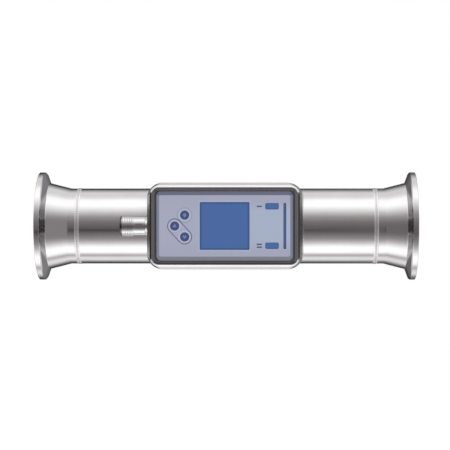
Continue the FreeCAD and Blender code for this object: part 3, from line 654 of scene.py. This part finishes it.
# display and status windows
pane = {
    "front": -62.4, "back": panel["back"], "inset": 1.5, "round": 0.25,
    "edges": [(0, 12.2, 13.6), (2, 11.8, 13.0)], "dot": 0.42,  # axis, start and end of the deeper blue
}
lens = {"front": -62.5, "back": -57.6, "inset": 0.45, "round": 0.25}
windowGap = 0.1


def lensPiece(name, width, height, corner, at, rebate):
    # A rounded rectangle fills its window with a small gap, its front edge rounded, and steps out into
    # the rebate where the window has one.
    look = pane if rebate else lens
    x, z, inner = width / 2 - windowGap, height / 2 - windowGap, corner - windowGap
    rows = [(look["front"], x - look["inset"], z - look["inset"], 0.1, 0),
            (look["front"], x, z, inner, look["round"])]
    if rebate:
        step = panel["back"] - panel["rebateDepth"]
        rows += [(step, x, z, inner, 0), (step, x + rebate, z + rebate, corner, 0)]
        inner = corner
    rows.append((look["back"], x + rebate, z + rebate, inner, 0))
    return loftedPiece(name, roundedPath(rows, steps=4), at=at)


def displayPlastic():
    # Hard-coated acrylic over a blue liquid-crystal cell: glossy, with the cell's dots just visible and
    # a slightly deeper blue along the edges.
    material, tree, shader = newMaterial("coatedAcrylic", Roughness=0.22, IOR=1.49)
    edges = [fadeAlong(tree, axis, side * low, side * high)
             for axis, low, high in pane["edges"] for side in (1, -1)]
    dots = addNode(tree, "TexBrick", {
        "Vector": millimetres(tree, (1, 0, 1)), "Color1": linear("#4A74AF"), "Color2": linear("#4C72AA"),
        "Mortar": linear("#486CA8"), "Scale": 1.0, "Mortar Size": 0.03,
        "Brick Width": pane["dot"], "Row Height": pane["dot"]}, "Color", offset=0.0)
    shade = coated(tree, dots, (gathered(tree, "MAXIMUM", *edges), linear("#3D5D94")))
    tree.links.new(shade, shader.inputs["Base Color"])
    return material


# Polycarbonate tinted right through, over dark lamps: glossy and even, the bar deeper than the windows.
statusFinish = moulded("tintedPolycarbonate", "#466CA8", 0.25, 0.8, 0.001)
barFinish = moulded("darkTintedPolycarbonate", "#456296", 0.25, 0.8, 0.001)
for word, name, finish, node, slot in (
    ("pane", "displayPaneLens", displayPlastic(), "display_pane", "pane_plastic"),
    ("one", "statusLens.one", statusFinish, "status_window_one", "status_plastic"),
    ("two", "statusLens.two", statusFinish, "status_window_two", "status_plastic"),
    ("bar", "barLens", barFinish, "status_bar", "status_plastic"),
):
    settle(lensPiece(name, *windows[word]), finish, stands=[node])
print("windows made")


# push buttons
button = {
    "front": -63.1, "radius": 2.4, "flange": -61.15, "flangeRadius": 3.4, "flangeBack": -60.45, "stem": 1.2,
    "stemEnd": -58.4, "round": 0.35, "dome": 0.06, "domeShare": 0.8, "pale": (0.9, 1.7),
}


def buttonPiece(name, at):
    # Turned cap: its face falls off from the middle with the square of the distance, inside the rounded
    # edge. Each point keeps its distance from the middle for the printed ring.
    b = button
    share = np.linspace(0, 1, 9)[1:-1]
    away = b["radius"] * share * b["domeShare"]
    dome = np.column_stack([b["front"] + b["dome"] * share ** 2, away, 0 * share])
    path = roundedPath([
        (b["front"], poleRadius, 0), *dome,
        (b["front"] + b["dome"], b["radius"], b["round"]), (b["flange"], b["radius"], 0.1),
        (b["flange"], b["flangeRadius"], 0.15), (b["flangeBack"], b["flangeRadius"], 0.15),
        (b["flangeBack"], b["stem"], 0.1), (b["stemEnd"], b["stem"], 0.2), (b["stemEnd"], poleRadius, 0),
    ], steps=5)
    piece = turnedPiece(name, path, steps=72, axis="y", at=at, closed=False)
    place = vertexPlaces(piece) / mm
    mark = piece.data.attributes.new("fromCentre", "FLOAT", "POINT")
    mark.data.foreach_set("value", np.hypot(place[:, 0] - at[0], place[:, 2] - at[1]))
    return piece


def buttonRubber():
    # moulded silicone key: matt, dark blue, with a paler printed middle
    material, tree, shader = newMaterial("printedSilicone", Roughness=0.5)
    away = addNode(tree, "Attribute", out="Fac", attribute_name="fromCentre")
    pale, dark = button["pale"]
    ring = addNode(tree, "MapRange", {"Value": away, "From Min": pale, "From Max": dark},
                   interpolation_type="SMOOTHSTEP")
    grain = addNode(tree, "TexNoise", {"Vector": millimetres(tree), "Scale": 1 / 0.3, "Detail": 2.0})
    speckle = addNode(tree, "Math", {0: grain, 1: 0.15}, operation="MULTIPLY")
    shade = coated(tree, linear("#475C90"), (ring, linear("#414F7B")), (speckle, linear("#384675")))
    linkSurface(tree, shader, shade, grain, 0.003)
    return material


rubber = buttonRubber()
for word, at in keys.items():
    settle(buttonPiece(word + "ButtonCap", at), rubber, body=word + "_button", stands=["button_" + word])
print("buttons made")


# Printing on the panel and the buttons: screen-printed ink, flat and satin.
printed = {
    "thick": 0.02, "sunk": 0.05, "frame": 0.8,
    "halo": (2.78, 3.4), "ring": (3.95, 4.25), "pill": (3.72, 4.18),  # inner and outer radius
    "dash": (1.45, 0.4), "dashCorner": 0.15, "dashX": 19.4, "dashZ": (11.0, -10.25, -11.85),
}
inkColours = {
    "pale": "#BCC6DD", "paleBlue": "#A9B5D3", "grey": "#585E78", "faintGrey": "#949AB0", "blue": "#4A5884",
    "lightBlue": "#7D91C6",
}
signs = {  # outlines in mm from the button's middle
    "diamond": np.array([(0, 1.25), (0.88, 0), (0, -1.25), (-0.88, 0)]),
    "chevron": np.array([(0, 1.0), (1.05, -0.4), (0.6, -0.8), (0, -0.1), (-0.6, -0.8), (-1.05, -0.4)]),
}


def stadium(centreA, centreB, radius, steps=24):
    # two half circles about the centres, turned to lie square to the line between them
    a, b = np.asarray(centreA, float), np.asarray(centreB, float)
    lean = math.atan2(*(b - a)[::-1]) if np.any(a != b) else 0.0
    half = np.linspace(math.pi / 2, 3 * math.pi / 2, steps) + lean
    first = a + radius * np.column_stack([np.cos(half), np.sin(half)])
    second = b + radius * np.column_stack([np.cos(half + math.pi), np.sin(half + math.pi)])
    return np.vstack([first, second])


def inkPiece(name, outer, inner=None, y=panel["face"]):
    # Thin raised ink: an outline carried from just under the surface to just above it, and back down
    # an inner outline where the shape is a band.
    levels = [y + printed["sunk"], y - printed["thick"]]
    rows = [np.insert(outer, 1, level, axis=1) for level in levels]
    if inner is not None:
        rows += [np.insert(inner, 1, level, axis=1) for level in levels[::-1]]
    return gridPiece(name, np.array(rows), closed=inner is not None)


def bandPiece(name, first, second, low, high):
    # ink between two outlines about the same centres, at the lower and the higher radius
    return inkPiece(name, stadium(first, second, high), stadium(first, second, low))


def printPanel():
    # Halos round the buttons, a ring, the display's frame, the pair's outline and the channel dashes. The
    # frame is the window's own outline, stretched outwards by its width.
    p, lip, (width, height, corner, *_) = printed, panel["lip"], windows["pane"]
    made = [("pale", bandPiece(word + "Halo", at, at, *p["halo"])) for word, at in keys.items()]
    made.append(("faintGrey", bandPiece("upperRing", keys["upper"], keys["upper"], *p["ring"])))
    x, z = width / 2 + lip, height / 2 + lip
    edge = evenPath([(x, z), (-x, z), (-x, -z), (x, -z)], corner + lip, steps=4)
    wide = edge * [1 + p["frame"] / x, 1 + p["frame"] / z]
    made.append(("paleBlue", inkPiece("displayFrame", wide, edge)))
    made.append(("grey", bandPiece("pairOutline", keys["left"], keys["lower"], *p["pill"])))
    x, z = p["dash"]
    dash = evenPath([(-x, -z), (x, -z), (x, z), (-x, z)], p["dashCorner"])
    for index, middle in enumerate(p["dashZ"]):
        made.append(("blue", inkPiece("channelDash." + str(index), dash + [p["dashX"], middle])))
    for ink, piece in made:
        settle(piece, inks[ink])


def signOnButton(word, outline, inner=None):
    # the sign, printed on the button's face and carried by it
    at = np.array(keys[word])
    piece = inkPiece(word + "Sign", outline + at, None if inner is None else inner + at, button["front"] + 0.01)
    settle(piece, inks["lightBlue"], body=word + "_button")


inks = {name: moulded(name + "Ink", colour, 0.45, 0.3, 0.001) for name, colour in inkColours.items()}
printPanel()
signOnButton("upper", evenPath(signs["diamond"], 0.12), evenPath(signs["diamond"] * 0.34, 0.05))
signOnButton("left", evenPath(signs["chevron"], 0.06))
signOnButton("lower", evenPath(signs["chevron"] * [1, -1], 0.06))
print("printing made")


# plug connector
shell = {
    "tip": -60.0, "bore": 4.4, "thread": 6.0, "chamfer": 0.6, "threadEnd": -52.5, "neck": 5.5, "seat": -45.6,
    "spigot": 4.5, "spigotEnd": -37.0, "insertBore": 3.45, "boreEnd": -51.1, "pitch": 1.0, "depth": 0.36,
    "flank": 6.0, "runIn": (0.25, 0.6), "runOut": (0.45, 0.4), "rowStep": 0.08,
    "index": (5.2, 2.7, 0.5, 0.75), "rib": (1.4, 0.6, 5.0),
}
contacts = {"radius": 0.5, "circle": 2.4, "start": -58.4, "end": -34.0}


def threadRelief(place, angle, radius):
    # Single-start thread: the flanks follow a flattened triangle wave of the place along the axis
    # less the lead that belongs to the angle, and run out towards both ends.
    s = shell
    turns = (place - s["tip"]) / s["pitch"] - angle / (2 * math.pi)
    wave = np.clip(np.abs((turns % 1) - 0.5) * s["flank"], 0, 1)
    start, end = s["tip"] + s["runIn"][0], s["threadEnd"] - s["runOut"][0]
    fade = np.clip((place - start) / s["runIn"][1], 0, 1) * np.clip((end - place) / s["runOut"][1], 0, 1)
    onThread = (radius > s["neck"] - 0.6) & (place < s["threadEnd"] - 0.4)
    return np.where(onThread, -s["depth"] * (1 - wave) * fade, 0)


def shellPiece():
    # a turned shell with its thread as relief, less an oval mark on its neck, and with the rib in its
    # bore that keeps the mating plug from turning
    s, y = shell, plug["y"]
    path = roundedPath([
        (s["threadEnd"], s["thread"], 0.12), (s["threadEnd"], s["neck"], 0.15), (s["seat"], s["neck"], 0.2),
        (s["seat"], s["spigot"], 0.1), (s["spigotEnd"], s["spigot"], 0.3),
        (s["spigotEnd"], s["insertBore"], 0.2), (s["boreEnd"], s["insertBore"], 0.05),
        (s["boreEnd"], s["bore"], 0.1), (s["tip"], s["bore"], 0.25),
        (s["tip"], s["thread"] - s["chamfer"], 0), (s["tip"] + s["chamfer"], s["thread"], 0),
    ], steps=4)
    share = np.linspace(0, 1, 9)[1:-1]
    lead = np.column_stack([s["tip"] + s["chamfer"] * share, s["thread"] - s["chamfer"] * (1 - share)])
    crest = np.arange(s["tip"] + s["chamfer"] + s["rowStep"], s["threadEnd"] - 0.35, s["rowStep"])
    crest = np.column_stack([crest, np.full(len(crest), s["thread"])])
    path = np.vstack([path[:-1], lead, path[-1:], crest])
    piece = turnedPiece("plugShellThreaded", path, steps=144, at=(y, 0), relief=threadRelief)
    length, width, depth, line = s["index"]
    middle, top = (s["threadEnd"] + s["seat"]) / 2, y - s["neck"]
    outer = (length / 2, width / 2, width / 2 - 0.01)
    inner = (length / 2 - line, width / 2 - line, width / 2 - line - 0.01)
    oval = [(top - 1, *outer), (top + depth, *outer), (top + depth, *inner), (top - 1, *inner)]
    combine(piece, loftedPiece("cutter", oval, at=(middle, 0), closed=True), "DIFFERENCE")
    wide, high, long = s["rib"]
    rib = [(y - wide / 2, long / 2, high, 0.15), (y + wide / 2, long / 2, high, 0.15)]
    combine(piece, loftedPiece("rib", rib, at=(s["boreEnd"] - long / 2 + 0.05, s["bore"])), "UNION")
    return piece


def pinsPiece():
    # four turned pins with rounded tips, evenly spaced round a circle
    c = contacts
    path = roundedPath([(c["start"], poleRadius, 0), (c["start"], c["radius"], 0.35),
                        (c["end"], c["radius"], 0.1), (c["end"], poleRadius, 0)])
    pins = []
    for angle in (math.radians(45 + 90 * step) for step in range(4)):
        at = (plug["y"] + c["circle"] * math.cos(angle), c["circle"] * math.sin(angle))
        pins.append(turnedPiece("pin", path, steps=24, at=at, closed=False))
    return joined("contactPinsTurned", pins)


def tipTone(tree, steel):
    # darker on the blunt tip, as the photograph shades it
    tip = fadeAlong(tree, 0, shell["tip"] + 1.3, shell["tip"] + 1.0)
    return coated(tree, steel, (tip, linear("#6A6668", 0.9)))


# Turned stainless steel: bright, with rings too fine to tell apart.
plugSteel = grainedMetal("turnedPlugSteel", "#D3D2D3", 0.12, 0.09, 0.001, (1, 0.05, 0.05), tint=tipTone)
# Gold on brass: warm and smooth.
goldPlate = grainedMetal("goldPlatedBrass", "#E8C46A", 0.2, 0.2, 0.001, (0.2, 1, 1))
settle(shellPiece(), plugSteel, stands=["connector_shell"], sharp=30)
settle(pinsPiece(), goldPlate, stands=["connector_pins"])
print("plug connector made")


# Pieces inside, which keep their plain solids: colour, roughness, grain or texture and its depth in mm,
# and for a metal how the grain is stretched.
insideMetals = {
    "tinnedSwitchCover": ("#C9C9C6", 0.3, 0.3, 0.004, (1, 1, 1), ["key_switches"]),  # soft grey shine
    "rolledModuleFrame": ("#BFC0C2", 0.32, 0.3, 0.004, (0.1, 1, 1), ["display_module"]),  # lines along it
    "nickelledBrass": ("#D6C58E", 0.25, 0.3, 0.003, (1, 0.1, 1), ["board_standoffs"]),  # pale yellow shine
    "zincPlatedSteel": ("#C6C9CC", 0.3, 0.25, 0.003, (1, 1, 1), [
        "board_nuts", "bridge_nuts", "bridge_studs", "connector_nut"]),  # cool grey shine
    "silveredCeramic": ("#D8D6D0", 0.4, 0.15, 0.004, (1, 1, 1), ["outlet_piezo", "inlet_piezo"]),  # frosty
    "rolledSpringSteel": ("#C8C6C3", 0.28, 0.2, 0.003, (0.05, 1, 1), ["transducer_bridge"]),  # lines along it
}
insidePlastics = {
    "epdmGasket": ("#1E1F22", 0.7, 0.4, 0.01, ["panel_gasket", "connector_seal"]),  # matt black rubber
    "clearedSilicone": ("#8E9AB8", 0.55, 0.4, 0.008, ["key_mat"]),  # milky and soft
    "mouldedEpoxy": ("#1A1B1D", 0.55, 0.25, 0.006, ["display_board_parts", "main_board_parts"]),  # dull black
    "polyimideFilm": ("#B8742A", 0.3, 1.0, 0.002, ["board_ribbon"]),  # glossy amber
    "castPolyetherimide": ("#A8742C", 0.3, 1.2, 0.002, ["outlet_wedge", "inlet_wedge"]),  # deep amber
    "blackPvc": ("#1B1C1F", 0.45, 0.5, 0.004, ["transducer_cables"]),  # satin black
    "pottedSensor": ("#2A2B2E", 0.5, 0.4, 0.004, ["temperature_sensor"]),  # dark resin
    "glassFilledNylon": ("#202124", 0.5, 0.3, 0.008, ["connector_insert"]),  # black, slightly rough
}


def dress(material, names):
    # puts one finish on every slot of the named solids
    for name in names:
        piece = nodes[name]
        if not piece.material_slots:
            piece.data.materials.append(material)
        for slot in piece.material_slots:
            slot.material = material


def boardLaminate():
    # glass-epoxy laminate under green solder mask, with the copper tracks showing as paler lines
    material, tree, shader = newMaterial("solderMaskedLaminate", Roughness=0.35, IOR=1.5)
    tracks = addNode(tree, "TexBrick", {
        "Vector": millimetres(tree, (1, 0, 1)), "Color1": linear("#1E5A38"), "Color2": linear("#1B5434"),
        "Mortar": linear("#3C8A58"), "Scale": 1.0, "Mortar Size": 0.06, "Brick Width": 3.1, "Row Height": 0.9,
    }, "Color", offset=0.37)
    tree.links.new(tracks, shader.inputs["Base Color"])
    return material


def wireJackets():
    # PVC insulation in the four colours of sensor leads, told apart by the side they lie on
    material, tree, shader = newMaterial("colouredPvc", Roughness=0.4)
    near = fadeAlong(tree, 1, plug["y"] - 0.05, plug["y"] + 0.05)
    low = coated(tree, linear("#5A3A22"), (near, linear("#E6E4DE")))
    high = coated(tree, linear("#2B4FA0"), (near, linear("#1C1C1E")))
    tree.links.new(coated(tree, low, (fadeAlong(tree, 2, -0.05, 0.05), high)), shader.inputs["Base Color"])
    return material


for name, (*look, names) in insideMetals.items():
    dress(grainedMetal(name, *look), names)
for name, (*look, names) in insidePlastics.items():
    dress(moulded(name, *look), names)
dress(boardLaminate(), ["display_board", "main_board"])
dress(wireJackets(), ["connector_wires"])
print("inner pieces dressed")


# stage, light and camera, in metres and degrees
studio = {
    "floor": -0.9, "floorSize": 16.0, "floorColour": 0.9, "floorGlow": 0.5,
    "distance": 1.0, "aside": 0.024, "lens": 134.03, "sensor": 36.0,
    "shift": (-22.4, 1.0), "photoWidth": 450,  # pixels
    "lampPower": 12.0, "lampSize": (1.6, 1.2), "lampAt": (0, -1.8, 0.3), "lampTilt": 80.5,
    "peak": 1.8, "behind": (0.9, 0.97, 1.0, 1), "dimTint": (-0.01, 0.085, 0.07),
}
studioLevels = [  # degrees about the tube's axis, brightness
    (-180, 0.05), (-160, 0.06), (-149, 0.1), (-141, 0.3), (-134, 0.6), (-127, 0.98), (-119, 1.15), (-111, 1.0),
    (-103, 0.6), (-98, 0.66), (-91, 1.3), (-82, 1.65), (-70, 1.6), (-61, 1.25), (-52, 0.8), (-40, 0.4),
    (-28, 0.26), (-18, 0.16), (-13, 0.06), (-9, 0.14), (0, 0.19), (12, 0.25), (28, 0.45), (40, 0.78),
    (52, 1.17), (66, 1.58), (84, 1.52), (97, 1.08), (108, 0.96), (121, 0.98), (138, 0.46), (150, 0.07),
]
studioFill = [  # the direction's X, least brightness there
    (-1, 0.2), (-0.66, 0.22), (-0.34, 0.2), (-0.14, 0), (-0.04, 0), (0.06, 0.17), (0.14, 0.17),
    (0.36, 0.33), (0.68, 0.33), (0.86, 0.2), (1, 0.2),
]
studioPole = [  # the direction's X, share of the brightness kept there
    (-1, 0.04), (-0.975, 0.04), (-0.92, 1), (0.92, 1), (0.965, 0.12), (1, 0.12),
]


def studioWorld():
    # Soft boxes above and below and a dim room in front and behind, told apart by the angle that a
    # direction makes about the tube's axis: 0 towards the camera side, a quarter turn straight up.
    # Off to the left and right the dim parts are lifted, and straight along the axis it is dark. The
    # levels were set against the brightness measured down the photographed tube. The camera
    # itself sees an even white backdrop.
    world = bpy.data.worlds.new("studio")
    bpy.context.scene.world = world
    world.use_nodes = True
    tree = world.node_tree
    tree.nodes.clear()
    x, y, z = addNode(tree, "SeparateXYZ", {"Vector": addNode(tree, "TexCoord", out="Generated")}, None).outputs
    towards = addNode(tree, "Math", {0: y, 1: -1.0}, operation="MULTIPLY")
    angle = addNode(tree, "Math", {0: z, 1: towards}, operation="ARCTAN2")
    turn = addNode(tree, "MapRange", {"Value": angle, "From Min": -math.pi, "From Max": math.pi})
    across = addNode(tree, "MapRange", {"Value": x, "From Min": -1.0, "From Max": 1.0})
    behind = addNode(tree, "MapRange", {"Value": y, "From Min": 0.55, "From Max": 0.9})

    def tinted(level):
        # bright parts are neutral, and the dim room is slightly warm
        dim = max(1 - level / 1.2, 0)
        return (*[level / studio["peak"] * (1 - share * dim) for share in studio["dimTint"]], 1)

    about = addNode(tree, "ValToRGB", {"Fac": turn}, stops=[
        ((degree + 180) / 360, tinted(level)) for degree, level in studioLevels])
    fill = addNode(tree, "ValToRGB", {"Fac": across}, stops=[
        ((place + 1) / 2, tinted(level)) for place, level in studioFill])
    kept = addNode(tree, "ValToRGB", {"Fac": across}, stops=[
        ((place + 1) / 2, grey(share)) for place, share in studioPole])
    glow = coated(tree, about, (1.0, fill), blend="LIGHTEN")
    glow = coated(tree, glow, (1.0, kept), (behind, studio["behind"]), blend="MULTIPLY")
    backdrop = addNode(tree, "Background", {"Color": grey(1), "Strength": 1.0})
    light = addNode(tree, "Background", {"Color": glow, "Strength": studio["peak"]})
    seen = addNode(tree, "LightPath", out="Is Camera Ray")
    both = addNode(tree, "MixShader", {0: seen, 1: light, 2: backdrop})
    addNode(tree, "OutputWorld", {"Surface": both}, None)


def frontLight():
    # a wide soft light behind the camera for the plastic faces, kept out of the metal's reflections
    data = bpy.data.lights.new("frontSoftbox", "AREA")
    data.shape, (data.size, data.size_y), data.energy = "RECTANGLE", studio["lampSize"], studio["lampPower"]
    lamp = newObject("frontSoftbox", data)
    lamp.location = studio["lampAt"]
    lamp.rotation_euler = (math.radians(studio["lampTilt"]), 0, 0)
    lamp.visible_glossy = lamp.visible_camera = False


def floorPiece():
    # one flat square that faces up: matt white paper, lit evenly, which neither mirrors nor shades
    side = np.array([-0.5, 0.5]) * studio["floorSize"] / mm
    x, y = np.meshgrid(side, side)
    grid = np.stack([x, y, np.full_like(x, studio["floor"] / mm)], -1)
    piece = gridPiece("floor", grid, sheet=True)
    piece.data.flip_normals()
    paper = newMaterial("paleFloor", Roughness=0.9, Base_Color=grey(studio["floorColour"]),
                        Emission_Color=grey(1), Emission_Strength=studio["floorGlow"])[0]
    piece.data.materials.append(paper)
    piece.visible_glossy = piece.visible_diffuse = piece.visible_shadow = False


def cameraInPlace():
    # it looks half way between straight ahead and the middle of the piece, and the rest is shift
    s = studio
    data = bpy.data.cameras.new("camera")
    camera = newObject("camera", data)
    camera.location = (s["aside"], -s["distance"], 0)
    camera.rotation_euler = (math.radians(90), 0, s["aside"] / 2 / s["distance"])
    data.lens, data.sensor_width = s["lens"], s["sensor"]
    data.shift_x, data.shift_y = (pixels / s["photoWidth"] for pixels in s["shift"])
    data.clip_start, data.clip_end = 0.01, 100
    bpy.context.scene.camera = camera


studioWorld()
frontLight()
floorPiece()
cameraInPlace()
bpy.context.scene.view_settings.view_transform = "Standard"
bpy.context.scene.render.film_transparent = False
print("stage, light and camera set")
